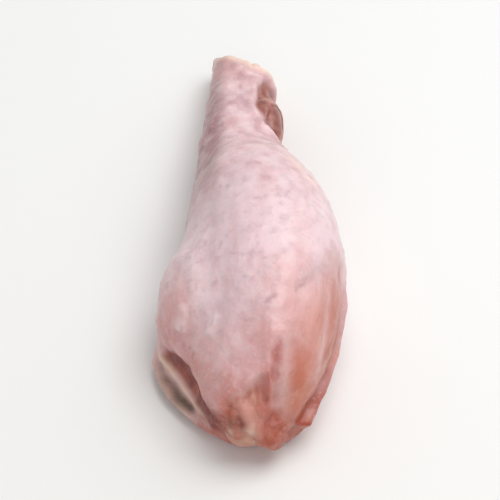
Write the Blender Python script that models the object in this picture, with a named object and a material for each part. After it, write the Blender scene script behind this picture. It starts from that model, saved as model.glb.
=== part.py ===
"""A raw chicken drumette: the upper joint of a chicken wing, lying skin side up.

The thick shoulder end points along -Y, the thin elbow end along +Y, and +Z is up. Lengths are in
metres. It is two solids. The flesh is a bundle of muscles in a wrap of skin, whose cut edges stand up
as relief. The wing bone runs through the flesh and shows at both cut ends.
"""

import math

import bmesh
import bpy
import numpy as np
from mathutils import Matrix

# Driving dimensions
LENGTH = 0.095
WIDTH = 0.038
HEIGHT = 0.032
SKIN = 0.0010
GAP = 0.0003  # left free between the flesh and the bone

FRONT, BACK = -LENGTH / 2, LENGTH / 2
RIGHT = WIDTH / 2

# Fineness of the two surfaces
FLESH_RINGS, FLESH_SEGMENTS = 80, 58
BONE_RINGS, BONE_SEGMENTS = 40, 18

# Fillets where muscles meet: tight where they lie bare, wide where the skin bridges them
BARE_FILLET = 0.0030
SKIN_FILLET = 0.0060


def place(across, along, up):
    """A point from shares of the half width, the half length and the height."""
    return np.array((across * RIGHT, along * BACK, up * HEIGHT))


# The muscles as ellipsoids: centre, half axes and turn about +Z in degrees
MUSCLES = {
    "belly": (place(0.22, -0.265, 0.492), place(0.74, 0.63, 0.495), 5),
    "left_lobe": (place(-0.44, -0.34, 0.35), place(0.46, 0.28, 0.36), -13),
    "shoulder_stump": (place(-0.09, -0.68, 0.345), place(0.42, 0.30, 0.315), 6),
    "tip_pad": (place(0.12, -0.87, 0.27), place(0.22, 0.11, 0.17), 0),
    "tip_edge": (place(0.255, -0.915, 0.20), place(0.11, 0.07, 0.11), 0),
    "outer_strand": (place(0.25, -0.555, 0.325), place(0.30, 0.365, 0.28), 12),
}
# The loose fold of skin that lies on the table along the left of the thick end
FOLD_CENTRE, FOLD_AXES, FOLD_TURN = place(-0.59, -0.65, 0.08), (0.0046, 0.0110, 0.0028), 36
# The thin end: a tapered rod from the elbow to the middle of the belly
ELBOW, ELBOW_RADIUS = place(-0.08, 1.01, 0.195), 0.128 * WIDTH
MIDDLE, MIDDLE_RADIUS = place(-0.06, 0.07, 0.41), 0.25 * WIDTH
# The slanting cut through the elbow: a point on it and the way it faces
CUT_POINT, CUT_FACING = place(-0.08, 0.99, 0.31), np.array((0.38, 0.80, 0.32))
CUT_FILLET = 0.0015
# The knob of the elbow joint, which bulges out through a slit in the skin
KNOB_CENTRE, KNOB_AXES = place(0.18, 0.60, 0.39), (0.0032, 0.0054, 0.0038)

# The wing bone: its shaft, the two knuckles at the elbow and the head at the shoulder
SHAFT_START, SHAFT_END = place(-0.03, -0.86, 0.25), place(-0.08, 0.92, 0.20)
SHAFT_RADIUS = 0.0027
KNUCKLES = (
    (place(-0.14, 0.972, 0.205), (0.0025, 0.0035, 0.0031)),
    (place(0.00, 0.93, 0.195), (0.0025, 0.0035, 0.0030)),
)
HEAD_CENTRE, HEAD_AXES = place(-0.03, -0.917, 0.24), (0.0042, 0.0040, 0.0038)
BONE_FILLET = 0.0025

# Where the skin ends: at both cut ends, round a window by the shoulder, and round a slit at the elbow
FRONT_BARE, BACK_BARE = 0.045 * LENGTH, 0.005 * LENGTH
BACK_WAVE = 0.35  # how wavy the back edge of the skin is, as a share of the front one
WINDOW_LEFT, WINDOW_LEAN = 0.12 * RIGHT, 0.30  # its left edge at the front, and how that leans right
WINDOW_BACK, WINDOW_SLANT = -0.79 * BACK, 1.30  # its back edge at the middle, and how that slants backwards
WINDOW_LOW, WINDOW_SLOPE = 0.16 * HEIGHT, 0.38  # its lower edge at the front, and how that rises backwards
SLIT_CENTRE, SLIT_AXES, SLIT_TURN = place(0.36, 0.585, 0.39), (0.0051, 0.0106, 0.0066), 12
EDGE = 0.0012  # half the breadth of the slope at an edge of the skin

# Where the ends of the line that all rays start from lie, and the share of the rings round each end
FLESH_SPINE = (place(0.06, -0.64, 0.34), place(-0.10, 0.82, 0.23))
BONE_SPINE = (place(-0.03, -0.88, 0.245), place(-0.08, 0.90, 0.20))
END_SHARE = 0.14
REACH = 0.03  # no surface is further than this from its spine


def ellipsoid(points, centre, half_axes, turn=0.0):
    """About the distance from each point to an ellipsoid turned about +Z. It is negative inside."""
    c, s = math.cos(math.radians(turn)), math.sin(math.radians(turn))
    local = (points - centre) @ np.array(((c, -s, 0), (s, c, 0), (0, 0, 1)))
    half_axes = np.asarray(half_axes)
    share = np.linalg.norm(local / half_axes, axis=1)
    steepness = np.linalg.norm(local / half_axes**2, axis=1)
    return share * (share - 1) / np.maximum(steepness, 1e-9)


def tapered_rod(points, start, end, start_radius, end_radius):
    """The distance from each point to a round rod whose radius changes along it."""
    line = end - start
    share = np.clip((points - start) @ line / (line @ line), 0, 1)
    nearest = start + share[:, None] * line
    radius = start_radius + share * (end_radius - start_radius)
    return np.linalg.norm(points - nearest, axis=1) - radius


def join(first, second, fillet):
    """The union of two shapes given as distances, with a fillet where they meet."""
    overlap = np.maximum(fillet - np.abs(first - second), 0) / fillet
    return np.minimum(first, second) - overlap**2 * fillet / 4


def trim(first, second, fillet):
    """The part that two shapes share, with its edge rounded."""
    return -join(-first, -second, fillet)


def behind_cut(points):
    """How far each point lies behind the cut through the elbow."""
    return (CUT_POINT - points) @ (CUT_FACING / np.linalg.norm(CUT_FACING))


def muscle_bundle(points, fillet):
    """The distance to all the muscles together."""
    distance = tapered_rod(points, ELBOW, MIDDLE, ELBOW_RADIUS, MIDDLE_RADIUS)
    for centre, half_axes, turn in MUSCLES.values():
        distance = join(distance, ellipsoid(points, centre, half_axes, turn), fillet)
    return distance


def bare_flesh(points):
    """The distance to the muscles and the knob of the elbow without their skin, cut off at the elbow."""
    knob = ellipsoid(points, KNOB_CENTRE, KNOB_AXES)
    distance = join(muscle_bundle(points, BARE_FILLET), knob, BARE_FILLET)
    return trim(distance, -behind_cut(points), BARE_FILLET)


def wrapped_flesh(points):
    """The distance to the outside of the skin that is drawn over the muscles, and of its loose fold."""
    fold = ellipsoid(points, FOLD_CENTRE, FOLD_AXES, FOLD_TURN)
    distance = join(muscle_bundle(points, SKIN_FILLET) - SKIN, fold, SKIN_FILLET)
    return trim(distance, -behind_cut(points), CUT_FILLET)


def bone(points, grown=0.0):
    """The distance to the wing bone, made thicker all over by grown."""
    distance = tapered_rod(points, SHAFT_START, SHAFT_END, SHAFT_RADIUS, SHAFT_RADIUS)
    for centre, half_axes in (*KNUCKLES, (HEAD_CENTRE, HEAD_AXES)):
        distance = join(distance, ellipsoid(points, centre, half_axes), BONE_FILLET)
    return distance - grown


def rays_from_spine(unit_sphere, spine):
    """Where the ray of each point of a unit sphere starts, and its direction.

    Rays leave the spine at right angles, and fan out from its two ends. The sphere's poles lie on Y.
    """
    latitude = np.arcsin(np.clip(unit_sphere[:, 1], -1, 1)) / (math.pi / 2)
    share = (latitude + 1) / 2
    along = np.clip((share - END_SHARE) / (1 - 2 * END_SHARE), 0, 1)
    starts = spine[0] + along[:, None] * (spine[1] - spine[0])
    past_end = np.maximum(END_SHARE - share, share - (1 - END_SHARE)) / END_SHARE
    lean = np.maximum(past_end, 0) * math.pi / 2
    angle = np.arctan2(unit_sphere[:, 2], unit_sphere[:, 0])
    directions = np.stack(
        (
            np.cos(angle) * np.cos(lean),
            np.sign(latitude) * np.sin(lean),
            np.sin(angle) * np.cos(lean),
        ),
        axis=1,
    )
    return starts, directions


def reach_along(starts, directions, distance):
    """How far each ray runs inside a shape, by halving the span in which it comes out."""
    near, far = np.zeros(len(starts)), np.full(len(starts), REACH)
    for _ in range(24):
        middle = (near + far) / 2
        inside = distance(starts + middle[:, None] * directions) < 0
        near, far = np.where(inside, middle, near), np.where(inside, far, middle)
    return near


def ramp(value, low, high):
    """0 below low and 1 above high, with a smooth rise between them."""
    share = np.clip((value - low) / (high - low), 0, 1)
    return share * share * (3 - 2 * share)


def skin_cover(points):
    """1 where skin wraps the muscles, and 0 where they lie bare.

    They lie bare at both cut ends, in a window on the upper right of the thick end, and in the slit.
    """
    x, y, z = points.T
    angle = np.arctan2(z - FLESH_SPINE[0][2], x)
    scallops = 0.0010 * np.sin(3 * angle + 0.8) + 0.0006 * np.sin(7 * angle + 2.0)
    waves = 0.0009 * np.sin(y / 0.0047) + 0.0006 * np.sin(y / 0.0021 + 1.0)
    window = ramp(x - WINDOW_LEFT - WINDOW_LEAN * (y - FRONT) + waves, -EDGE, EDGE)
    window *= ramp(z - WINDOW_LOW - WINDOW_SLOPE * (y - FRONT) + waves, -EDGE, EDGE)
    window *= ramp(WINDOW_BACK + WINDOW_SLANT * x - y + waves, -EDGE, EDGE)
    slit = ramp(waves - ellipsoid(points, SLIT_CENTRE, SLIT_AXES, SLIT_TURN), -EDGE, EDGE)
    covered = ramp(y - FRONT - FRONT_BARE + scallops, -EDGE, EDGE)
    covered *= ramp(behind_cut(points) - BACK_BARE + BACK_WAVE * scallops, -EDGE, EDGE)
    return covered * (1 - window) * (1 - slit)


def flesh(points):
    """The distance to the flesh: its bare muscles, or the skin where that covers them."""
    cover = skin_cover(points)
    return (1 - cover) * bare_flesh(points) + cover * wrapped_flesh(points)


def flesh_points(unit_sphere):
    """The points of a unit sphere, pushed out to the surface of the flesh."""
    starts, directions = rays_from_spine(unit_sphere, FLESH_SPINE)
    return starts + reach_along(starts, directions, flesh)[:, None] * directions


def bone_points(unit_sphere, grown=0.0):
    """The points of a unit sphere, pushed out to the surface of the bone."""
    starts, directions = rays_from_spine(unit_sphere, BONE_SPINE)
    reach = reach_along(starts, directions, lambda p: bone(p, grown))
    return starts + reach[:, None] * directions


def wrapped_sphere(name, rings, segments, shape):
    """A new object: a UV sphere with its poles along Y, whose points are moved by the shape function."""
    mesh = bpy.data.meshes.new(name)
    shell = bmesh.new()
    bmesh.ops.create_uvsphere(
        shell,
        u_segments=segments,
        v_segments=rings,
        radius=1,
        matrix=Matrix.Rotation(math.radians(-90), 4, "X"),
    )
    moved = shape(np.array([vertex.co for vertex in shell.verts]))
    for vertex, point in zip(shell.verts, moved):
        vertex.co = point
    bmesh.ops.recalc_face_normals(shell, faces=shell.faces)
    shell.to_mesh(mesh)
    shell.free()
    mesh.shade_smooth()
    return bpy.data.objects.new(name, mesh)


def lie_flat(obj):
    """Flattens what would sink below the table, so that the soft meat rests on it."""
    for vertex in obj.data.vertices:
        vertex.co.z = max(vertex.co.z, 0)


def finish_of(name, colour, roughness):
    """A plain material."""
    material = bpy.data.materials.new(name)
    material.use_nodes = True
    shader = material.node_tree.nodes["Principled BSDF"]
    shader.inputs["Base Color"].default_value = (*colour, 1)
    shader.inputs["Roughness"].default_value = roughness
    shader.inputs["Metallic"].default_value = 0
    return material


def make_bone(collection):
    obj = wrapped_sphere("bone", BONE_RINGS, BONE_SEGMENTS, bone_points)
    obj.data.materials.append(finish_of("bone", (0.80, 0.68, 0.60), 0.35))
    collection.objects.link(obj)


def make_flesh(collection, cutters):
    obj = wrapped_sphere("flesh", FLESH_RINGS, FLESH_SEGMENTS, flesh_points)
    obj.data.materials.append(finish_of("flesh", (0.74, 0.50, 0.50), 0.45))
    lie_flat(obj)
    collection.objects.link(obj)
    # The channel that the bone lies in is the bone's own shape, with a gap all round
    channel = wrapped_sphere(
        "bone_channel", BONE_RINGS, BONE_SEGMENTS, lambda sphere: bone_points(sphere, GAP)
    )
    channel.hide_render = True
    channel.display_type = "WIRE"
    cutters.objects.link(channel)
    cut = obj.modifiers.new("bone_channel", "BOOLEAN")
    cut.operation = "DIFFERENCE"
    cut.solver = "EXACT"
    cut.object = channel


def new_collection(name):
    collection = bpy.data.collections.new(name)
    bpy.context.scene.collection.children.link(collection)
    return collection


def centre_on_origin(collection, cutters):
    """Moves everything so that the origin is at the middle of the underside of the whole."""
    bpy.context.view_layer.update()
    corners = np.array([corner for obj in collection.objects for corner in obj.bound_box])
    middle = (corners.min(axis=0) + corners.max(axis=0)) / 2
    for obj in (*collection.objects, *cutters.objects):
        obj.data.transform(Matrix.Translation((-middle[0], -middle[1], -corners[:, 2].min())))


def main():
    for obj in list(bpy.data.objects):
        bpy.data.objects.remove(obj)
    drumette, cutters = new_collection("chicken_drumette"), new_collection("cutters")
    make_bone(drumette)
    make_flesh(drumette, cutters)
    centre_on_origin(drumette, cutters)


main()
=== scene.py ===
"""A raw chicken drumette, dressed: skin with its follicles and folds, bare meat, and the ends of the bone.

The thick shoulder end points along -Y, the thin elbow end along +Y, and +Z is up. Lengths are in metres.
"""

import itertools
import math

import bmesh
import bpy
import numpy as np
from mathutils import Matrix, Vector, kdtree


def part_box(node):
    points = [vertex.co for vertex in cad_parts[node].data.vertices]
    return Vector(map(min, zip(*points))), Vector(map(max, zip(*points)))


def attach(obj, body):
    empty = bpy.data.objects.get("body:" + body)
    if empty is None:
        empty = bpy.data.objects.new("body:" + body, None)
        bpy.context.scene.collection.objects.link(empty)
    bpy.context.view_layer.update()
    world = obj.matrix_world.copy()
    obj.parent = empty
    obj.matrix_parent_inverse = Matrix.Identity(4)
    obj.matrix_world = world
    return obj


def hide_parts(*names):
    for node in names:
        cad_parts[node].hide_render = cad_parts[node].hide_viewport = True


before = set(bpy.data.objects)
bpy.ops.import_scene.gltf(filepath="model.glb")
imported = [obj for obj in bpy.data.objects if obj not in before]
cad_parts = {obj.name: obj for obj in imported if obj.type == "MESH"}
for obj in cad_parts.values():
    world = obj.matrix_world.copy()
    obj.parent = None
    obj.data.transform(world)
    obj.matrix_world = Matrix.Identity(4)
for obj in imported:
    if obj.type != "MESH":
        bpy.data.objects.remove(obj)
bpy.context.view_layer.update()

MM = 0.001

# The shape of the solids, from the same named sizes as the model
LENGTH, WIDTH, HEIGHT, SKIN = 0.095, 0.038, 0.032, 0.0010
FRONT, BACK, RIGHT = -LENGTH / 2, LENGTH / 2, WIDTH / 2
BARE_FILLET, SKIN_FILLET = 0.0030, 0.0060


def place(across, along, up):
    """A point from shares of the half width, the half length and the height."""
    return np.array((across * RIGHT, along * BACK, up * HEIGHT))


MUSCLES = {
    "belly": (place(0.22, -0.265, 0.492), place(0.74, 0.63, 0.495), 5),
    "left_lobe": (place(-0.44, -0.34, 0.35), place(0.46, 0.28, 0.36), -13),
    "shoulder_stump": (place(-0.09, -0.68, 0.345), place(0.42, 0.30, 0.315), 6),
    "tip_pad": (place(0.12, -0.87, 0.27), place(0.22, 0.11, 0.17), 0),
    "tip_edge": (place(0.255, -0.915, 0.20), place(0.11, 0.07, 0.11), 0),
    "outer_strand": (place(0.25, -0.555, 0.325), place(0.30, 0.365, 0.28), 12),
}
FOLD_CENTRE, FOLD_AXES, FOLD_TURN = place(-0.59, -0.65, 0.08), (0.0046, 0.0110, 0.0028), 36
ELBOW, ELBOW_RADIUS = place(-0.08, 1.01, 0.195), 0.128 * WIDTH
MIDDLE, MIDDLE_RADIUS = place(-0.06, 0.07, 0.41), 0.25 * WIDTH
CUT_POINT, CUT_FACING = place(-0.08, 0.99, 0.31), np.array((0.38, 0.80, 0.32))
CUT_FILLET = 0.0015
KNOB_CENTRE, KNOB_AXES = place(0.18, 0.60, 0.39), (0.0032, 0.0054, 0.0038)
SHAFT_START, SHAFT_END = place(-0.03, -0.86, 0.25), place(-0.08, 0.92, 0.20)
SHAFT_RADIUS = 0.0027
KNUCKLES = (
    (place(-0.14, 0.972, 0.205), (0.0025, 0.0035, 0.0031)),
    (place(0.00, 0.93, 0.195), (0.0025, 0.0035, 0.0030)),
)
HEAD_CENTRE, HEAD_AXES = place(-0.03, -0.917, 0.24), (0.0042, 0.0040, 0.0038)
BONE_FILLET = 0.0025
FRONT_BARE, BACK_BARE, BACK_WAVE = 0.045 * LENGTH, 0.005 * LENGTH, 0.35
WINDOW_LEFT, WINDOW_LEAN = 0.12 * RIGHT, 0.30
WINDOW_BACK, WINDOW_SLANT = -0.79 * BACK, 1.30
WINDOW_LOW, WINDOW_SLOPE = 0.16 * HEIGHT, 0.38
SLIT_CENTRE, SLIT_AXES, SLIT_TURN = place(0.36, 0.585, 0.39), (0.0051, 0.0106, 0.0066), 12
FLESH_SPINE = (place(0.06, -0.64, 0.34), place(-0.10, 0.82, 0.23))
BONE_SPINE = (place(-0.03, -0.88, 0.245), place(-0.08, 0.90, 0.20))
# How far from a spine the surface may lie, and how many times that length is halved to find it
REACH, HALVINGS = 0.03, 20
SOFT_EDGE, CRISP_EDGE = 0.0035, 0.0006

# Fineness of the dressed surfaces, and the share of the rings round the front and back ends
FLESH_RINGS, FLESH_SEGMENTS = 345, 286
FLESH_END_SHARES = (0.24, 0.10)
BONE_RINGS, BONE_SEGMENTS = 150, 60
BONE_END_SHARES = (0.20, 0.16)

# Colours as seen in daylight, red, green and blue from 0 to 255
COLOURS = {
    "skin": (231, 203, 208),
    "skin_pale": (243, 220, 221),
    "skin_lilac": (186, 146, 154),
    # A dark pink-brown for painted shade on the shank's left facet
    "skin_painted_shade": (160, 110, 110),
    "skin_rose": (213, 144, 136),
    "skin_blush": (203, 121, 107),
    "pore": (188, 142, 148),
    "fascia": (226, 170, 158),
    "meat": (190, 112, 98),
    "meat_orange": (198, 102, 60),
    "meat_rust": (168, 72, 40),
    "knob": (118, 50, 40),
    "tip_meat": (180, 100, 78),
    # Deep red: painted shade in the crease, the nicks and the zone under the lobe, and the dark streak and
    # edges at the tip
    "crease": (126, 26, 10),
    # A dark red for painted shade in the crease round the slit's edge
    "slit_crease_shade": (128, 44, 38),
    # Meat red, deepened as painted shade, for the groove between two muscles
    "groove": (182, 88, 76),
    # A greyish beige: the loose fold's skin, darkened as painted shade where it faces down
    "flap": (166, 134, 120),
    # Dark olive brown: painted shade in the fold's hollow, and a brown patch at the tip
    "olive": (88, 58, 42),
    "cream": (246, 222, 200),
    "cartilage": (226, 188, 162),
    "bone_pink": (184, 118, 96),
    "floor": (238, 238, 236),
}


def linear(name):
    """A named colour as linear red, green, blue and alpha."""
    share = np.array(COLOURS[name]) / 255
    return (*np.where(share < 0.04045, share / 12.92, ((share + 0.055) / 1.055) ** 2.4), 1)


# Shapes as distances: the model's functions, apart from the slit, which here is open to the right and below


def ellipsoid(points, centre, half_axes, turn=0.0):
    """About the distance from each point to an ellipsoid turned about +Z. It is negative inside."""
    c, s = math.cos(math.radians(turn)), math.sin(math.radians(turn))
    local = (points - centre) @ np.array(((c, -s, 0), (s, c, 0), (0, 0, 1)))
    half_axes = np.asarray(half_axes)
    share = np.linalg.norm(local / half_axes, axis=1)
    steepness = np.linalg.norm(local / half_axes**2, axis=1)
    return share * (share - 1) / np.maximum(steepness, 1e-9)


def tapered_rod(points, start, end, start_radius, end_radius):
    """The distance from each point to a round rod whose radius changes along it."""
    line = end - start
    share = np.clip((points - start) @ line / (line @ line), 0, 1)
    nearest = start + share[:, None] * line
    radius = start_radius + share * (end_radius - start_radius)
    return np.linalg.norm(points - nearest, axis=1) - radius


def join(first, second, fillet):
    """The union of two shapes given as distances, with a fillet where they meet."""
    overlap = np.maximum(fillet - np.abs(first - second), 0) / fillet
    return np.minimum(first, second) - overlap**2 * fillet / 4


def trim(first, second, fillet):
    """The part that two shapes share, with its edge rounded."""
    return -join(-first, -second, fillet)


def behind_cut(points):
    """How far each point lies behind the cut through the elbow."""
    return (CUT_POINT - points) @ (CUT_FACING / np.linalg.norm(CUT_FACING))


def muscle_bundle(points, fillet):
    """The distance to all the muscles together."""
    distance = tapered_rod(points, ELBOW, MIDDLE, ELBOW_RADIUS, MIDDLE_RADIUS)
    for centre, half_axes, turn in MUSCLES.values():
        distance = join(distance, ellipsoid(points, centre, half_axes, turn), fillet)
    return distance


def bare_flesh(points):
    """The distance to the muscles and the knob of the elbow without their skin, cut off at the elbow."""
    knob = ellipsoid(points, KNOB_CENTRE, KNOB_AXES)
    distance = join(muscle_bundle(points, BARE_FILLET), knob, BARE_FILLET)
    return trim(distance, -behind_cut(points), BARE_FILLET)


def wrapped_flesh(points):
    """The distance to the outside of the skin that is drawn over the muscles, and of its loose fold."""
    fold = ellipsoid(points, FOLD_CENTRE, FOLD_AXES, FOLD_TURN)
    distance = join(muscle_bundle(points, SKIN_FILLET) - SKIN, fold, SKIN_FILLET)
    return trim(distance, -behind_cut(points), CUT_FILLET)


def bone(points):
    """The distance to the wing bone."""
    distance = tapered_rod(points, SHAFT_START, SHAFT_END, SHAFT_RADIUS, SHAFT_RADIUS)
    for centre, half_axes in (*KNUCKLES, (HEAD_CENTRE, HEAD_AXES)):
        distance = join(distance, ellipsoid(points, centre, half_axes), BONE_FILLET)
    return distance


def ramp(value, low, high):
    """0 below low and 1 above high, with a smooth rise between them."""
    share = np.clip((value - low) / (high - low), 0, 1)
    return share * share * (3 - 2 * share)


def waves(points):
    """A gentle waviness for the margins of the skin."""
    y = points[:, 1]
    return 0.0009 * np.sin(y / 0.0047) + 0.0006 * np.sin(y / 0.0021 + 1.0)


def bare_window(points, soft, crisp):
    """1 where the meat lies bare on the upper right of the thick end. soft is for its back margin."""
    x, y, z = points.T
    edge = crisp + (soft - crisp) * ramp(y, -0.042, -0.031)
    window = ramp(x - WINDOW_LEFT - WINDOW_LEAN * (y - FRONT) + waves(points), -edge, edge)
    window *= ramp(z - WINDOW_LOW - WINDOW_SLOPE * (y - FRONT) + waves(points), -crisp, crisp)
    return window * ramp(WINDOW_BACK + WINDOW_SLANT * x - y + waves(points), -soft, soft)


def outside_slit(points):
    """How far each point lies outside the slit at the knob, which is open to the right and below."""
    x, y, z = points.T
    clipped = np.stack((np.minimum(x, SLIT_CENTRE[0]), y, np.maximum(z, SLIT_CENTRE[2])), axis=1)
    ragged = waves(points) + 0.0007 * noise(points, 0.0028, 141)
    return ellipsoid(clipped, SLIT_CENTRE, SLIT_AXES, SLIT_TURN) - ragged


def covered_ends(points, crisp):
    """1 between the two cut ends, where the skin stops short, and 0 at them."""
    x, y, z = points.T
    angle = np.arctan2(z - FLESH_SPINE[0][2], x)
    scallops = 0.0010 * np.sin(3 * angle + 0.8) + 0.0006 * np.sin(7 * angle + 2.0)
    covered = ramp(y - FRONT - FRONT_BARE + scallops, -crisp, crisp)
    return covered * ramp(behind_cut(points) - BACK_BARE + BACK_WAVE * scallops, -crisp, crisp)


def skin_cover(points, soft, crisp):
    """1 where skin wraps the muscles and 0 where they lie bare.

    soft is half the breadth of the window's back margin, and crisp is half the breadth of the others.
    """
    bare = (1 - bare_window(points, soft, crisp)) * ramp(outside_slit(points), -crisp, crisp)
    return covered_ends(points, crisp) * bare


def flesh(points):
    """The distance to the flesh: its bare muscles, or the skin where that covers them."""
    cover = skin_cover(points, SOFT_EDGE, CRISP_EDGE)
    return (1 - cover) * bare_flesh(points) + cover * wrapped_flesh(points)


# Noise, lines and masks


def noise(points, size, seed):
    """Smooth noise from about -1 to 1, with lumps about size across. size may be one for each axis."""
    lattice = np.random.default_rng(seed).uniform(-1, 1, (32, 32, 32))
    scaled = points / np.asarray(size) + 500
    cell = np.floor(scaled).astype(int)
    share = scaled - cell
    share = share * share * (3 - 2 * share)
    total = np.zeros(len(points))
    for corner in itertools.product((0, 1), repeat=3):
        weight = np.prod(np.where(corner, share, 1 - share), axis=1)
        total += weight * lattice[tuple((cell + corner).T % 32)]
    return total


def wrinkles(points, size, seed):
    """Thin raised lines between smooth hollows, from 0 to 1."""
    return (1 - np.abs(noise(points, size, seed))) ** 3


def rough_noise(points, size, seed, octaves=3):
    """Noise with ever finer and fainter lumps."""
    size = np.asarray(size)
    return sum(noise(points, size / 2**i, seed + i) / 2**i for i in range(octaves)) / 1.5


def from_line(points, corners):
    """How far each point is from a line of straight stretches, and how far along it, from 0 to 1."""
    corners = np.array(corners) * MM
    lengths = np.linalg.norm(np.diff(corners, axis=0), axis=1)
    starts = np.concatenate(((0,), np.cumsum(lengths)))
    best, along = np.full(len(points), np.inf), np.zeros(len(points))
    for first, second, start, length in zip(corners, corners[1:], starts, lengths):
        share = np.clip((points - first) @ (second - first) / length**2, 0, 1)
        distance = np.linalg.norm(points - first - share[:, None] * (second - first), axis=1)
        nearer = distance < best
        best = np.where(nearer, distance, best)
        along = np.where(nearer, (start + share * length) / starts[-1], along)
    return best, along


def valley(points, corners, width, fade, spread=0.0):
    """1 along a line and 0 away from it.

    It fades in and out over a share of its length at each end, and widens by spread to its last corner.
    """
    distance, along = from_line(points, corners)
    ends = ramp(along, 0, fade) * ramp(1 - along, 0, fade)
    return np.exp(-((distance / (width + spread * along)) ** 2)) * ends


def spot(points, centre, radius):
    """1 at a point given in millimetres and 0 away from it."""
    return np.exp(-((np.linalg.norm(points - np.array(centre) * MM, axis=1) / (radius * MM)) ** 2))


# Lines on the surface: half breadth, how much that grows to the last corner, and corners, in millimetres
LINES = {
    "crease": (
        0.9,
        0.4,
        (
            (-17.2, -25.0, 9.0),
            (-14.2, -29.6, 11.2),
            (-11.6, -33.2, 11.8),
            (-9.3, -40.0, 9.8),
            (-6.2, -43.8, 8.0),
        ),
    ),
    "under": (
        1.5,
        0.9,
        (
            (-17.6, -24.4, 7.6),
            (-14.6, -29.6, 9.2),
            (-12.0, -33.6, 9.6),
            (-9.8, -39.6, 8.8),
            (-6.6, -43.6, 7.6),
            (-3.4, -45.8, 6.4),
        ),
    ),
    "tip_edge": (
        1.3,
        0.0,
        (
            (-8.0, -42.0, 8.6),
            (-6.2, -43.8, 7.0),
            (-4.6, -44.6, 5.6),
            (-3.2, -45.0, 4.6),
        ),
    ),
    "lip": (
        0.7,
        0.1,
        (
            (-18.3, -22.6, 6.0),
            (-15.4, -29.1, 7.0),
            (-12.7, -33.7, 6.6),
            (-10.5, -38.3, 6.6),
            (-8.6, -41.8, 6.4),
        ),
    ),
    "hollow": (
        1.0,
        0.0,
        (
            (-18.3, -25.4, 5.6),
            (-17.2, -28.0, 5.3),
            (-15.5, -31.0, 5.0),
            (-13.1, -35.1, 4.6),
            (-9.2, -41.0, 5.2),
        ),
    ),
    "low_edge": (
        1.7,
        0.0,
        (
            (-11.0, -39.0, 2.6),
            (-8.0, -42.0, 4.0),
            (-5.5, -43.8, 4.0),
            (-2.5, -45.2, 3.0),
        ),
    ),
    "outer_lip": (
        0.9,
        0.0,
        (
            (-18.8, -21.8, 4.4),
            (-18.6, -25.2, 4.0),
            (-17.1, -30.2, 3.4),
            (-14.8, -33.9, 2.9),
            (-12.2, -37.4, 3.3),
            (-9.4, -40.8, 4.6),
        ),
    ),
    "groove": (
        0.8,
        1.3,
        (
            (5.8, -34.6, 27.0),
            (5.0, -39.2, 23.6),
            (3.8, -41.8, 20.3),
            (3.4, -43.0, 17.5),
            (3.6, -44.4, 15.0),
            (4.3, -46.8, 9.5),
        ),
    ),
    "tip_streak": (0.7, 0.2, ((-2.6, -45.6, 14.6), (-1.9, -46.6, 12.4), (-1.2, -47.4, 9.6))),
    "left_streak": (0.8, 0.2, ((-5.8, -43.8, 12.6), (-4.6, -45.0, 10.4), (-3.6, -46.6, 8.4))),
    "pale_pad": (1.5, 0.0, ((-1.2, -43.6, 18.0), (-0.4, -45.4, 14.6), (0.6, -47.0, 11.4))),
    "ridge": (
        1.2,
        0.4,
        (
            (6.9, -33.6, 27.4),
            (6.8, -39.0, 23.0),
            (6.7, -41.7, 19.1),
            (6.6, -43.8, 14.3),
            (6.3, -45.4, 11.2),
        ),
    ),
    "strand": (
        2.6,
        0.8,
        (
            (10.0, -32.0, 26.6),
            (10.5, -37.5, 22.7),
            (10.5, -40.7, 17.8),
            (10.2, -42.4, 14.0),
            (9.6, -44.3, 10.5),
        ),
    ),
    "outer_fold": (
        0.8,
        0.3,
        (
            (17.9, -12.0, 22.8),
            (18.1, -18.3, 19.2),
            (17.8, -24.2, 17.8),
            (16.7, -30.4, 15.4),
            (14.0, -36.6, 10.0),
        ),
    ),
    "inner_fold": (
        0.9,
        0.2,
        (
            (15.9, -17.4, 25.0),
            (15.6, -22.5, 24.6),
            (15.3, -29.5, 22.4),
            (14.4, -34.9, 19.6),
            (12.8, -38.7, 14.1),
        ),
    ),
    "shoulder_rim": (
        0.7,
        0.1,
        (
            (6.3, 12.6, 24.4),
            (8.1, 9.8, 25.2),
            (10.0, 6.1, 26.2),
            (12.0, 3.3, 26.0),
            (13.9, 1.2, 24.6),
        ),
    ),
    "shoulder_line": (
        0.4,
        0.1,
        (
            (5.0, 11.8, 25.6),
            (6.8, 9.2, 26.4),
            (8.6, 5.6, 27.4),
            (10.4, 2.8, 27.4),
            (12.2, 0.7, 26.5),
        ),
    ),
    "dimple": (
        1.1,
        0.6,
        (
            (9.1, -26.6, 29.1),
            (10.5, -24.8, 28.9),
            (12.3, -22.6, 28.2),
            (15.0, -18.6, 26.0),
        ),
    ),
    # Raised streaks on the lobe, low on its front and at its rim, which carry painted highlights
    "lobe_highlight_streak": (
        2.2,
        0.0,
        (
            (-11.6, -12.0, 23.8),
            (-10.8, -17.0, 24.6),
            (-10.0, -22.0, 23.8),
            (-8.6, -27.0, 22.8),
        ),
    ),
    "low_highlight_streak": (1.2, 0.0, ((-7.6, -32.0, 21.6), (-6.7, -29.8, 23.2), (-5.8, -27.6, 24.8))),
    "rim_highlight_streak": (1.2, 0.0, ((-13.9, -28.0, 17.2), (-12.9, -26.2, 19.3), (-12.2, -23.6, 21.2))),
    "shank_ridge": (
        1.7,
        1.2,
        (
            (-5.0, 43.5, 12.6),
            (-4.4, 32.0, 15.9),
            (-3.8, 25.5, 17.7),
            (-4.5, 14.0, 22.5),
            (-5.1, 3.0, 27.2),
        ),
    ),
}
# The lines whose edges are ragged
RAGGED = (
    "crease",
    "under",
    "hollow",
    "tip_edge",
    "tip_streak",
    "left_streak",
    "groove",
    "pale_pad",
    "dimple",
    "low_highlight_streak",
    "rim_highlight_streak",
    "lobe_highlight_streak",
)
# How much of its length a line takes to fade at each end
SHORT_FADE, LONG_FADES = 0.15, {"hollow": 0.35}
# Marks that are at full strength over some of their breadth
BOLD = {"under": 1.7, "hollow": 1.5, "flap": 1.3}
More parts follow.
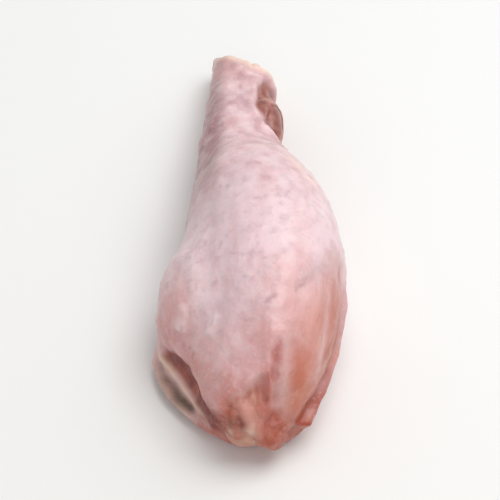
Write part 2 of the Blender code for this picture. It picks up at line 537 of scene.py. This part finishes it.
# Short nicks and pinched wrinkles: the half breadth and the fade of them all, and the corners of each
TICK_BREADTH, TICK_FADE = 0.45, 0.4
TICKS = (
    ((1.8, -30.7, 28.9), (3.4, -28.9, 29.9), (4.9, -27.3, 30.4)),
    ((8.7, -27.1, 29.0), (10.2, -25.2, 29.0), (11.4, -23.6, 28.6)),
    ((-13.1, -28.6, 16.7), (-12.5, -30.5, 15.1)),
    ((-11.2, -30.2, 17.4), (-12.2, -31.5, 14.2)),
    ((-10.2, -31.8, 17.7), (-11.4, -33.0, 14.4)),
)
# The loose fold of skin: how far it reaches from its outer lip, how it fades, and how high it reaches
FLAP_BREADTH, FLAP_FADE, FLAP_TOP = 0.0034, 0.45, 0.0068
# The follicles: their spacing, and the half breadth of a bump and of its pit
FOLLICLE_SPACING, FOLLICLE_BREADTH, PIT_BREADTH = 0.0019, 0.00075, 0.00055
# The most points that scatter tries
MOST_TRIES = 26000


def nearest_spots(points, spots):
    """How far each point is from the closest spot, and that spot's number."""
    tree = kdtree.KDTree(len(spots))
    for number, place_of in enumerate(spots):
        tree.insert(place_of, number)
    tree.balance()
    found = [tree.find(point)[1:] for point in points]
    return np.array([distance for _, distance in found]), np.array([number for number, _ in found])


def lumps(points, where, spacing, stretch, seed):
    """1 on top of each of many uneven lumps that cover the surface where the mask is high."""
    warp = np.stack([noise(points, 0.9 * spacing, seed + i) for i in range(3)], axis=1)
    warped = (points + 0.40 * spacing * warp) / np.array(stretch)
    spots = scatter(warped[where > 0.3], spacing, seed)
    distance, number = nearest_spots(warped, spots)
    radius = spacing * np.random.default_rng(seed).uniform(0.55, 1.0, len(spots))[number]
    return np.sqrt(np.clip(1 - (distance / radius) ** 2, 0, 1)) * where


def scatter(points, spacing, seed):
    """Points picked from a surface in a random order, each at least its spacing from the others."""
    order = np.random.default_rng(seed).permutation(len(points))
    cells, kept = {}, []
    for index in order[:MOST_TRIES]:
        point = points[index]
        cell = tuple(np.floor(point / spacing).astype(int))
        near = itertools.chain.from_iterable(
            cells.get((cell[0] + i, cell[1] + j, cell[2] + k), ())
            for i, j, k in itertools.product((-1, 0, 1), repeat=3)
        )
        if all(np.linalg.norm(point - other) >= spacing for other in near):
            cells.setdefault(cell, []).append(point)
            kept.append(point)
    return np.array(kept)


# Meshes


def rays_from_spine(unit_sphere, spine, end_shares):
    """Where the ray of each point of a unit sphere starts, and its direction, as in the model."""
    latitude = np.arcsin(np.clip(unit_sphere[:, 1], -1, 1)) / (math.pi / 2)
    share = (latitude + 1) / 2
    front, back = end_shares
    along = np.clip((share - front) / (1 - front - back), 0, 1)
    starts = spine[0] + along[:, None] * (spine[1] - spine[0])
    past_end = np.maximum((front - share) / front, (share - 1 + back) / back)
    lean = np.maximum(past_end, 0) * math.pi / 2
    angle = np.arctan2(unit_sphere[:, 2], unit_sphere[:, 0])
    directions = np.stack(
        (
            np.cos(angle) * np.cos(lean),
            np.where(share < 0.5, -1, 1) * np.sin(lean),
            np.sin(angle) * np.cos(lean),
        ),
        axis=1,
    )
    return starts, directions


def surface_points(unit_sphere, spine, end_shares, distance):
    """The points of a unit sphere, pushed out along their rays to the surface of a shape."""
    starts, directions = rays_from_spine(unit_sphere, spine, end_shares)
    near, far = np.zeros(len(starts)), np.full(len(starts), REACH)
    for _ in range(HALVINGS):
        middle = (near + far) / 2
        inside = distance(starts + middle[:, None] * directions) < 0
        near, far = np.where(inside, middle, near), np.where(inside, far, middle)
    return starts + near[:, None] * directions


def read_points(mesh):
    points = np.empty(len(mesh.vertices) * 3)
    mesh.vertices.foreach_get("co", points)
    return points.reshape(-1, 3)


def read_normals(mesh):
    normals = np.empty(len(mesh.vertices) * 3)
    mesh.vertex_normals.foreach_get("vector", normals)
    return normals.reshape(-1, 3)


def write_points(mesh, points):
    mesh.vertices.foreach_set("co", np.ascontiguousarray(points, np.float64).ravel())
    mesh.update()


def write_mask(mesh, name, values):
    """Keeps a value from 0 to 1 at each point of a mesh, for its material."""
    mask = mesh.attributes.new(name, "FLOAT", "POINT")
    mask.data.foreach_set("value", np.ascontiguousarray(values, np.float32))


def write_colours(mesh, name, colours):
    """Keeps a linear colour at each point of a mesh, for its material."""
    layer = mesh.color_attributes.new(name, "FLOAT_COLOR", "POINT")
    colours = np.concatenate((colours, np.ones((len(colours), 1))), axis=1)
    layer.data.foreach_set("color", np.ascontiguousarray(np.clip(colours, 0, 1), np.float32).ravel())


def wrapped_sphere(name, rings, segments, shape):
    """A new object: a UV sphere with its poles along Y, whose points are moved by the shape function."""
    mesh = bpy.data.meshes.new(name)
    shell = bmesh.new()
    turn = Matrix.Rotation(math.radians(-90), 4, "X")
    bmesh.ops.create_uvsphere(shell, u_segments=segments, v_segments=rings, radius=1, matrix=turn)
    shell.to_mesh(mesh)
    shell.free()
    write_points(mesh, shape(read_points(mesh)))
    mesh.shade_smooth()
    obj = bpy.data.objects.new(name, mesh)
    bpy.context.scene.collection.objects.link(obj)
    return obj


# Materials


class Graph:
    """A material's nodes, made one call at a time. Each call returns the socket that comes out."""

    def __init__(self, name):
        self.material = bpy.data.materials.new(name)
        self.material.use_nodes = True
        self.nodes = self.material.node_tree.nodes
        self.links = self.material.node_tree.links
        self.shader = self.nodes["Principled BSDF"]
        self.place = self.nodes.new("ShaderNodeTexCoord").outputs["Object"]

    def put(self, socket, value):
        """Links a socket to another, or sets its value."""
        if isinstance(value, bpy.types.NodeSocket):
            self.links.new(value, socket)
        else:
            socket.default_value = value

    def mask(self, name):
        node = self.nodes.new("ShaderNodeAttribute")
        node.attribute_name = name
        return node.outputs["Fac"]

    def colour(self, name):
        node = self.nodes.new("ShaderNodeAttribute")
        node.attribute_name = name
        return node.outputs["Color"]

    def stretched(self, scale, turn=0.0):
        """The place on the object, scaled along each axis after a turn about Z in degrees."""
        node = self.nodes.new("ShaderNodeMapping")
        node.inputs["Rotation"].default_value = (0, 0, math.radians(turn))
        node.inputs["Scale"].default_value = scale
        self.links.new(self.place, node.inputs["Vector"])
        return node.outputs["Vector"]

    def noise(self, size, detail, vector=None, distortion=0.0, roughness=0.5):
        """Noise from 0 to 1 with lumps about size across, in metres."""
        node = self.nodes.new("ShaderNodeTexNoise")
        self.links.new(vector or self.place, node.inputs["Vector"])
        node.inputs["Scale"].default_value = 1 / size
        node.inputs["Detail"].default_value = detail
        node.inputs["Distortion"].default_value = distortion
        node.inputs["Roughness"].default_value = roughness
        return node.outputs["Fac"]

    def math(self, operation, first, second):
        node = self.nodes.new("ShaderNodeMath")
        node.operation = operation
        self.put(node.inputs[0], first)
        self.put(node.inputs[1], second)
        return node.outputs["Value"]

    def rise(self, value, low, high, bottom, top):
        """bottom below low and top above high, with a smooth change between."""
        node = self.nodes.new("ShaderNodeMapRange")
        node.interpolation_type = "SMOOTHSTEP"
        self.put(node.inputs["Value"], value)
        ends = {"From Min": low, "From Max": high, "To Min": bottom, "To Max": top}
        for name, number in ends.items():
            node.inputs[name].default_value = number
        return node.outputs["Result"]

    def mix(self, share, first, second):
        """Two colours, mixed."""
        node = self.nodes.new("ShaderNodeMix")
        node.data_type = "RGBA"
        self.put(node.inputs["Factor"], share)
        self.put(node.inputs["A"], linear(first) if isinstance(first, str) else first)
        self.put(node.inputs["B"], linear(second) if isinstance(second, str) else second)
        return node.outputs["Result"]

    def bump(self, height, distance):
        """A normal for relief of a given height, in metres."""
        node = self.nodes.new("ShaderNodeBump")
        self.put(node.inputs["Height"], height)
        node.inputs["Distance"].default_value = distance
        return node.outputs["Normal"]

    def finish(self, colour, roughness, normal=None, **values):
        """Sets the shader's sockets. values are named with _ for a space."""
        self.put(self.shader.inputs["Base Color"], colour)
        self.put(self.shader.inputs["Roughness"], roughness)
        if normal:
            self.links.new(normal, self.shader.inputs["Normal"])
        for name, value in values.items():
            self.shader.inputs[name.replace("_", " ")].default_value = value
        return self.material


# Moist flesh lets light in a millimetre or two, red the deepest
SCATTER = {"Subsurface_Radius": (1.0, 0.42, 0.30), "Subsurface_Scale": 0.0018, "Subsurface_Weight": 0.40}


def flesh_material():
    """Skin and meat. The mesh carries their broad colours, and masks of where each of them shows."""
    g = Graph("flesh")
    bare, skin = g.mask("bare"), g.mask("skin")
    patches = g.noise(0.0060, 4, distortion=0.6)
    blotches = g.noise(0.0019, 5, roughness=0.6)
    grain = g.noise(0.0007, 3)
    fibres = g.noise(0.0010, 4, g.stretched((1, 0.10, 1), -6), distortion=0.6)

    # Where, the pattern, the values between which it sets in, its strength and its colour
    layers = (
        (skin, patches, 0.45, 0.70, 0.30, "skin_pale"),
        (skin, blotches, 0.50, 0.72, 0.34, "skin_lilac"),
        (skin, grain, 0.50, 0.75, 0.20, "skin_pale"),
        (bare, fibres, 0.50, 0.72, 0.42, "meat"),
        (bare, blotches, 0.50, 0.75, 0.28, "fascia"),
    )
    colour = g.colour("tint")
    for where, pattern, low, high, strength, name in layers:
        share = g.math("MULTIPLY", where, g.rise(pattern, low, high, 0.0, strength))
        colour = g.mix(share, colour, name)

    roughness = g.rise(grain, 0.3, 0.7, 0.36, 0.50)
    relief = g.math("ADD", g.math("MULTIPLY", blotches, 0.6), g.math("MULTIPLY", grain, 0.4))
    normal = g.bump(relief, 0.00022)
    return g.finish(colour, roughness, normal, Coat_Weight=0.30, Coat_Roughness=0.25, **SCATTER)


def bone_material():
    """Cartilage at the ends: pearly, with pink where blood shows through."""
    g = Graph("bone")
    patches = g.noise(0.003, 4)
    colour = g.mix(g.rise(patches, 0.42, 0.68, 0.0, 0.55), g.colour("tint"), "bone_pink")
    normal = g.bump(g.noise(0.0008, 3), 0.0001)
    return g.finish(colour, 0.28, normal, Coat_Weight=0.3, Coat_Roughness=0.15, **SCATTER)


def floor_material():
    g = Graph("floor")
    tone = g.noise(0.4, 2)
    colour = g.mix(g.rise(tone, 0.3, 0.7, 0.0, 0.05), "floor", "cartilage")
    return g.finish(colour, 0.6)


# Pieces


def offset_to_frame(points, node):
    """From a shape's own coordinates to the frame's: both are centred on the node's box."""
    low, high = (np.array(corner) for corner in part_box(node))
    return (low + high) / 2 - (points.min(axis=0) + points.max(axis=0)) / 2


def band(value, centre, breadth):
    """1 where a value is at its centre and 0 away from it."""
    return np.exp(-(((value - centre) / breadth) ** 2))


def warped(points, size, amount, seeds):
    """The points, moved by smooth noise with lumps about size across. There is one seed for each axis."""
    return points + amount * np.stack([noise(points, size, seed) for seed in seeds], axis=1)


def line_marks(points):
    """The masks of the lines and nicks, and of the fold of skin between two of the lines."""
    ragged = warped(points, 0.0026, 0.0009, (33, 34, 35))
    marks = {}
    for name, (breadth, spread, corners) in LINES.items():
        where = ragged if name in RAGGED else points
        mark = valley(where, corners, breadth * MM, LONG_FADES.get(name, SHORT_FADE), spread * MM)
        marks[name] = np.clip(BOLD.get(name, 1) * mark, 0, 1)
    marks["ticks"] = sum(valley(ragged, corners, TICK_BREADTH * MM, TICK_FADE) for corners in TICKS)
    flap = valley(ragged, LINES["outer_lip"][2], FLAP_BREADTH, FLAP_FADE)
    below_lip = ramp(FLAP_TOP - points[:, 2], -0.0004, 0.0008)
    marks["flap"] = np.clip(BOLD["flap"] * flap, 0, 1) * below_lip
    return marks


def margin_marks(points):
    """The masks of the skin's margins, the slit, the cut ends and the regions along the drumette."""
    y, z = points[:, 1], points[:, 2]
    depth = -outside_slit(points)
    marks = {
        "cover": skin_cover(points, SOFT_EDGE, CRISP_EDGE),
        "ends": 1 - covered_ends(points, CRISP_EDGE),
        "slit": ramp(depth, -CRISP_EDGE, CRISP_EDGE),
        "slit_rim": band(depth, -0.0013, 0.0008),
        "slit_crease": band(depth, 0.0003, 0.0006),
        "tissue": ramp(depth, -0.0009, 0.0009),
        "off_table": ramp(z, 0.0002, 0.003),
        "front": ramp(-y, 0.022, 0.042),
        "shank": ramp(y, -0.006, 0.020),
    }
    marks["tip"] = marks["ends"] * ramp(-y, 0, 0.01)
    marks["elbow_rim"] = band(behind_cut(points), 0.0009, 0.0008) * (1 - marks["slit"])
    return marks


def follicle_marks(points, marks):
    """The masks of the follicles: bumps of many strengths, in patches, with a pit in each."""
    hairy = (marks["cover"] > 0.95) & (points[:, 2] > 0.002)
    roots = scatter(points[hairy], FOLLICLE_SPACING, 5)
    distance, number = nearest_spots(warped(points, 0.0030, 0.0006, (23, 24, 25)), roots)
    strength = np.random.default_rng(11).uniform(0.0, 1.0, number.max() + 1)[number]
    patchy = (0.25 + 0.75 * ramp(noise(points, 0.009, 21), -0.4, 0.5)) * (1 - 0.75 * marks["front"])
    strength = strength * patchy * marks["cover"] * marks["off_table"]
    return {
        "follicle": band(distance, 0, FOLLICLE_BREADTH) * strength,
        "pit": band(distance, 0, PIT_BREADTH) * strength,
    }


def flesh_marks(points):
    """Every mask that shapes or colours the flesh, as values from 0 to 1 at its points."""
    marks = {**line_marks(points), **margin_marks(points)}
    marks.update(follicle_marks(points, marks))
    marks["knob_lumps"] = lumps(points, marks["slit"], 0.0030, (1, 1.8, 1.2), 13)
    marks["tip_lumps"] = lumps(points, marks["tip"], 0.0026, (1, 1, 1.5), 17)
    return marks


# How high each mark stands out from the smooth shape, in millimetres. Hollows are below 0.
RELIEF = {
    "lip": 0.55,
    "outer_lip": 0.40,
    "ridge": 0.12,
    "lobe_highlight_streak": 0.30,
    "low_highlight_streak": 0.38,
    "rim_highlight_streak": 0.38,
    "shoulder_rim": 0.25,
    "elbow_rim": 0.40,
    "knob_lumps": 0.35,
    "tip_lumps": 0.30,
    "follicle": 0.30,
    "pit": -0.10,
    "hollow": -0.45,
    "crease": -0.60,
    "under": -0.45,
    "groove": -0.28,
    "tip_streak": -0.30,
    "left_streak": -0.30,
    "outer_fold": -0.35,
    "inner_fold": -0.15,
    "dimple": -0.30,
    "shoulder_line": -0.12,
    "ticks": -0.22,
    "slit_crease": -0.25,
}
SKIN_RELIEF = {"slit_rim": 0.50, "shank_ridge": 0.60}
# A collar of meat over the bone's head: its place, breadth and height in millimetres
COLLAR_PLACE, COLLAR_BREADTH, COLLAR_HEIGHT = (-3.4, -46.2, 8.0), 4.0, 1.20


def flesh_relief(points, marks):
    """How far each point of the flesh stands out from its smooth shape."""
    cover, bare, shank = marks["cover"] * (1 - marks["flap"]), 1 - marks["cover"], marks["shank"]
    collar = spot(points, COLLAR_PLACE, COLLAR_BREADTH)
    collar = collar * ramp(rough_noise(points, 0.0026, 59, 2), -0.6, 0.2)
    # Where, how high in millimetres, and the pattern
    patterns = (
        (1, 0.34, rough_noise(points, 0.008, 31)),
        (cover, 0.20, rough_noise(points, 0.0030, 41, 2)),
        (cover * (1 - shank), 0.07, wrinkles(points, (0.0013, 0.0030, 0.0013), 43)),
        (cover * (0.3 + 0.7 * shank), 0.13, wrinkles(points, (0.0026, 0.0012, 0.0022), 47)),
        (cover * (1 - shank), 0.20, rough_noise(points, (0.0022, 0.0080, 0.0040), 49, 2)),
        (cover * (0.25 + 0.75 * shank), 0.20, rough_noise(points, 0.0020, 57, 2)),
        (bare, 0.22, rough_noise(points, (0.0018, 0.0090, 0.0018), 51)),
        (marks["ends"], 0.45, rough_noise(points, 0.0038, 53, 2)),
        (1, COLLAR_HEIGHT, collar),
    )
    height = sum(where * high * pattern for where, high, pattern in patterns)
    height += sum(high * marks[name] for name, high in RELIEF.items())
    height += cover * sum(high * marks[name] for name, high in SKIN_RELIEF.items())
    return height * MM * marks["off_table"]


def plain(points, name):
    """One named colour at every point."""
    return np.tile(linear(name)[:3], (len(points), 1))


def painted(colour, share, name):
    """The colours at each point, with a named one laid over them by a share from 0 to 1."""
    return colour + np.clip(share, 0, 1)[:, None] * (np.array(linear(name)[:3]) - colour)


def layered(colour, layers):
    """The colours at each point, with named ones laid over them in turn, each by its share."""
    for name, share in layers:
        colour = painted(colour, share, name)
    return colour


# Blushes on the skin: colour, strength, and the place and breadth in millimetres
BLUSHES = (
    ("skin_blush", 0.40, (2.0, -35.0, 26.5), 4.0),
    # The next two, on the lower left of the lobe, are partly rose and partly painted shade
    ("skin_blush", 0.75, (-17.0, -25.5, 13.2), 5.0),
    ("skin_blush", 0.75, (-11.2, -34.4, 14.6), 3.6),
    ("skin_rose", 0.50, (7.0, -24.7, 31.0), 6.0),
)


def skin_tint(points, marks, rough, fine, streaky):
    """The colour of the skin: rosy at the thick end and along the shank, with painted shade on the shank's
    left facet, speckled all over.
    """
    x, y, z = points.T
    shank, front = marks["shank"], marks["front"]
    left = ramp(-x, 0.006, 0.017) * ramp(-y, 0.008, 0.026)
    low_left = ramp(-x, 0.002, 0.016) * ramp(-y, 0.020, 0.040)
    low_right = ramp(x, 0.006, 0.012) * ramp(-y, 0.030, 0.040)
    # Painted shade on the shank's left facet, fading out towards the table
    shaded_facet = ramp(-x, 0.0035, 0.0075) * ramp(y, -0.010, 0.016) * ramp(z, 0.003, 0.015)
    flank = ramp(x, 0.0135, 0.0168) * ramp(-y, 0.010, 0.022)
    flank = flank + ramp(x, 0.004, 0.010) * ramp(-y, 0.034, 0.040)
    drawn = rough_noise(points, (0.0026, 0.0120, 0.0026), 111, 2)
    mottle = ramp(rough_noise(points, 0.0030, 101, 2), -0.1, 0.7) * (1 - 0.5 * front)
    dots = noise(points, 0.0017, 131) * (1 - 0.8 * front)
    pale_dots = ramp(-dots, 0.20, 0.70) * (1 - shaded_facet) * (1 - np.clip(flank, 0, 1))
    blushes = [(name, share * spot(points, centre, breadth)) for name, share, centre, breadth in BLUSHES]
    return layered(
        plain(points, "skin"),
        (
            ("skin_pale", 0.35 * ramp(rough, -0.2, 0.8)),
            ("skin_rose", 0.30 * ramp(drawn, 0.0, 0.7) * (1 - shank)),
            ("skin_rose", shank * (0.28 + 0.15 * fine)),
            # Painted shade on the shank's left facet
            ("skin_painted_shade", shaded_facet * (1.0 + 0.2 * fine)),
            ("skin_rose", 0.8 * ramp(-y, 0.022, 0.048) * (0.9 + 0.4 * rough)),
            ("skin_rose", 0.65 * left * (0.9 + 0.5 * rough)),
            # Deeper rose to the lower left, partly painted shade where the surface faces away from the
            # light
            ("skin_blush", 0.6 * low_left * (0.8 + 0.5 * fine)),
            ("skin_blush", 0.6 * ramp(-y, 0.036, 0.046) * (0.8 + 0.6 * fine)),
            *blushes,
            ("skin_rose", 0.40 * ramp(y, 0.036, 0.046)),
            ("meat", 0.80 * flank * (0.8 + 0.4 * streaky)),
            ("meat_rust", 0.30 * flank),
            ("meat_rust", 0.65 * low_right),
            ("pore", 0.35 * mottle * (0.35 + 0.65 * shank) + 0.40 * marks["pit"]),
            ("pore", ramp(dots, 0.10, 0.60) * (0.22 + 0.30 * shank)),
            ("skin_pale", pale_dots * (0.20 + 0.20 * shank)),
            # Pale tops on the follicles, and a painted highlight along the lobe's streak
            ("skin_pale", 0.20 * marks["follicle"] + 0.4 * marks["lobe_highlight_streak"]),
            ("skin_blush", 0.40 * marks["shoulder_line"]),
            ("cream", 0.60 * marks["shoulder_rim"]),
            # Painted highlights along the raised streaks low on the lobe and at its rim
            ("skin_pale", 0.60 * (marks["low_highlight_streak"] + marks["rim_highlight_streak"])),
        ),
    )


def meat_tint(points, marks, streaky):
    """The colour of the bare meat: streaky, rusty at the side, orange along the strand."""
    x, y = points[:, 0], points[:, 1]
    side = ramp(x, 0.0125, 0.0165) * ramp(-y, 0.012, 0.026)
    low_strand = marks["strand"] * ramp(-y, 0.034, 0.042)
    return layered(
        plain(points, "fascia"),
        (
            ("meat", 0.45 + 0.35 * streaky),
            ("meat_rust", side * (0.55 + 0.3 * streaky)),
            ("meat_orange", low_strand * (0.75 + 0.3 * streaky)),
            ("skin_pale", 0.35 * marks["inner_fold"]),
        ),
    )


def tip_layers(points, marks, rough, fine, streaky):
    """The layers of colour at the thick end's tip: combed meat, its groove and ridge, and dark edges."""
    x, y, z = points.T
    tip, groove = marks["tip"], marks["groove"] * (0.9 + 0.3 * streaky)
    combed = rough_noise(points, (0.0016, 0.0040, 0.0060), 121)
    strand_end = spot(points, (10.4, -42.8, 7.8), 4.6)
    pale_patch = spot(points, (0.2, -46.8, 10.8), 1.6)
    brown_patch = spot(points, (-3.3, -45.9, 12.4), 1.2)
    collar = spot(points, (-3.4, -46.4, 7.6), 2.4)
    # A small cream glint below the bone's head: a painted highlight
    painted_glint = spot(points, (-3.7, -46.2, 10.0), 0.9)
    right_corner = spot(points, (4.4, -47.1, 7.9), 2.0)
    dark_edge = spot(points, (-7.2, -42.6, 10.6), 2.6) + spot(points, (-5.0, -44.2, 7.6), 2.2)
    underside = ramp(x, 0.003, 0.007) * ramp(-y, 0.0405, 0.0440) * ramp(0.011 - z, 0, 0.003)
    return (
        ("skin_pale", 0.30 * marks["ridge"]),
        ("meat_rust", 0.6 * marks["outer_fold"]),
        # The groove's red meat, deepened as painted shade
        ("groove", 0.50 * groove),
        ("meat_rust", strand_end * (0.95 + 0.3 * fine)),
        ("tip_meat", tip * (0.85 + 0.2 * rough)),
        ("meat_rust", tip * ramp(combed + 0.4 * fine, -0.2, 0.5) * 0.75),
        ("cartilage", tip * ramp(-combed, 0.15, 0.7) * 0.5),
        # The groove's painted shade again, over the tip's meat
        ("groove", 0.55 * groove),
        ("fascia", 0.60 * marks["pale_pad"] * (0.9 + 0.6 * combed)),
        ("cream", 0.60 * pale_patch * ramp(combed, -0.6, 0.2)),
        ("olive", 0.45 * brown_patch),
        ("meat_rust", 0.55 * collar + 0.75 * marks["left_streak"]),
        ("crease", 0.80 * marks["tip_streak"]),
        # Painted highlight: the cream glint
        ("cream", 0.8 * painted_glint),
        ("meat_rust", 0.8 * right_corner + 0.85 * marks["tip_edge"]),
        ("crease", 0.75 * dark_edge * (0.8 + 0.6 * fine)),
        ("meat_rust", 0.85 * underside),
    )


def fold_layers(marks, fine):
    """The layers of colour under the skin's edge and on the loose fold, and in the nicks."""
    return (
        ("meat_rust", 0.8 * marks["low_edge"]),
        # The red-brown meat under the lobe's skin, darkened towards the underside as painted shade
        ("meat_rust", 0.95 * marks["under"]),
        ("crease", marks["under"] * ramp(fine, -0.8, 0.2)),
        # The crease between the lobe and the tip: partly red meat in the seam, partly painted shade
        ("crease", 0.95 * marks["crease"] * (0.9 + 0.3 * fine)),
        # The loose fold's skin, darkened as painted shade where it faces down
        ("flap", 0.80 * marks["flap"] * (0.9 + 0.4 * fine)),
        # Painted shade in the hollow of the loose fold
        ("olive", 0.9 * marks["hollow"]),
        ("cream", 0.75 * marks["lip"] + 0.22 * marks["outer_lip"]),
        # Painted shade in the nicks and the dimple
        ("crease", 0.35 * marks["ticks"] + 0.15 * marks["dimple"]),
    )


def slit_layers(marks, fine, streaky):
    """The layers of colour of the knob in the slit, and of the rim of the cut through the elbow."""
    tissue = marks["tissue"]
    return (
        ("knob", 0.95 * tissue),
        ("fascia", tissue * ramp(streaky + 0.6 * fine, -0.3, 0.9) * 0.45),
        ("fascia", marks["slit"] * marks["knob_lumps"] * (0.28 + 0.35 * fine)),
        # Painted shade in the crease just inside the slit's edge
        ("slit_crease_shade", 0.4 * marks["slit_crease"] * tissue),
        ("cream", 0.5 * tissue * (1 - tissue) * marks["cover"]),
        ("cream", 0.75 * marks["elbow_rim"]),
    )


def flesh_tint(points, marks, bare):
    """The broad colours of the flesh: its skin, the meat that lies bare, and what marks them."""
    rough, fine = rough_noise(points, 0.0070, 61), rough_noise(points, 0.0024, 71)
    streaky = rough_noise(points, (0.0020, 0.0100, 0.0020), 81)
    skin = skin_tint(points, marks, rough, fine, streaky)
    meat = meat_tint(points, marks, streaky)
    colour = skin + np.clip(bare, 0, 1)[:, None] * (meat - skin)
    colour = layered(colour, tip_layers(points, marks, rough, fine, streaky))
    colour = layered(colour, fold_layers(marks, fine))
    return layered(colour, slit_layers(marks, fine, streaky))


def bare_share(points, marks):
    """How bare the meat looks at each point. Its colour spreads a little beyond the skin's margins."""
    window = 0.95 * bare_window(points + (0, 0.0035, 0), 0.009, 0.0022)
    return np.clip(np.maximum.reduce((window, marks["tissue"], 0.8 * marks["ends"])), 0, 1)


def make_flesh():
    def shape(unit_sphere):
        return surface_points(unit_sphere, FLESH_SPINE, FLESH_END_SHARES, flesh)

    obj = wrapped_sphere("flesh_dressed", FLESH_RINGS, FLESH_SEGMENTS, shape)
    mesh = obj.data
    points = read_points(mesh)
    points[:, 2] = np.maximum(points[:, 2], 0)
    write_points(mesh, points)
    marks = flesh_marks(points)
    bare = bare_share(points, marks)
    write_colours(mesh, "tint", flesh_tint(points, marks, bare))
    write_mask(mesh, "bare", bare)
    marked = 0.7 * marks["flap"] + sum(marks[name] for name in ("hollow", "lip", "under", "crease"))
    write_mask(mesh, "skin", np.clip(1 - bare - marked, 0, 1))
    move = offset_to_frame(points, "flesh")
    points = points + flesh_relief(points, marks)[:, None] * read_normals(mesh) + move
    points[:, 2] = np.maximum(points[:, 2], 0)
    write_points(mesh, points)
    mesh.materials.append(flesh_material())
    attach(obj, "root")
    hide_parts("flesh")
    return obj


def make_bone():
    def shape(unit_sphere):
        return surface_points(unit_sphere, BONE_SPINE, BONE_END_SHARES, bone)

    obj = wrapped_sphere("bone_dressed", BONE_RINGS, BONE_SEGMENTS, shape)
    mesh = obj.data
    points, normals = read_points(mesh), read_normals(mesh)
    height = 0.00012 * rough_noise(points, 0.0018, 91)
    bloody = ramp(-points[:, 1], 0, 0.01) * (0.75 + 0.5 * rough_noise(points, 0.0030, 93))
    write_colours(mesh, "tint", painted(plain(points, "cartilage"), bloody, "bone_pink"))
    write_points(mesh, points + offset_to_frame(points, "bone") + height[:, None] * normals)
    mesh.materials.append(bone_material())
    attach(obj, "root")
    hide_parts("bone")
    return obj


# The stage

# Each soft light's place, the side of its square, and its power in watts
LIGHTS = {
    "key": ((0.16, 0.04, 0.58), 0.45, 2.3),
    "window": ((0.34, 0.34, 0.34), 0.40, 0.5),
    "fill": ((0.06, -0.52, 0.40), 0.50, 0.5),
}
SKY_COLOUR, SKY_STRENGTH = (0.97, 0.985, 1.0, 1), 0.46
FLOOR_SIZE, FLOOR_DROP = 4.0, 0.0001
# The photograph's view: how high the camera looks from, and how much the frame takes in
CAMERA_ELEVATION = math.radians(52)
FRAME_SIZE = 0.100
LENS, SENSOR = 600, 36


def make_floor():
    bpy.ops.mesh.primitive_plane_add(size=FLOOR_SIZE, location=(0, 0, -FLOOR_DROP))
    floor = bpy.context.object
    floor.name = "floor"
    floor.data.materials.append(floor_material())


def make_light(name, location, size, power):
    """A square soft light that points at the drumette."""
    light = bpy.data.lights.new(name, "AREA")
    light.size, light.energy = size, power
    obj = bpy.data.objects.new(name, light)
    obj.location = location
    obj.rotation_euler = (-Vector(location)).to_track_quat("-Z", "Y").to_euler()
    bpy.context.scene.collection.objects.link(obj)


def make_world():
    """An even sky all round."""
    world = bpy.data.worlds.new("studio")
    world.use_nodes = True
    background = world.node_tree.nodes["Background"]
    background.inputs["Color"].default_value = SKY_COLOUR
    background.inputs["Strength"].default_value = SKY_STRENGTH
    bpy.context.scene.world = world


def make_camera(subjects):
    """A camera that looks at the middle of what it sees of its subjects."""
    back = Vector((0, -math.cos(CAMERA_ELEVATION), math.sin(CAMERA_ELEVATION)))
    up = Vector((0, math.sin(CAMERA_ELEVATION), math.cos(CAMERA_ELEVATION)))
    heights = np.concatenate([read_points(obj.data) for obj in subjects]) @ np.array(up)
    middle = (heights.min() + heights.max()) / 2 * up
    camera = bpy.data.cameras.new("camera")
    camera.lens, camera.sensor_width = LENS, SENSOR
    obj = bpy.data.objects.new("camera", camera)
    obj.location = middle + FRAME_SIZE * LENS / SENSOR * back
    obj.rotation_euler = (-back).to_track_quat("-Z", "Y").to_euler()
    bpy.context.scene.collection.objects.link(obj)
    bpy.context.scene.camera = obj


pieces = (make_flesh(), make_bone())
make_floor()
make_world()
for light_name, settings in LIGHTS.items():
    make_light(light_name, *settings)
make_camera(pieces)
bpy.context.scene.view_settings.view_transform = "Standard"
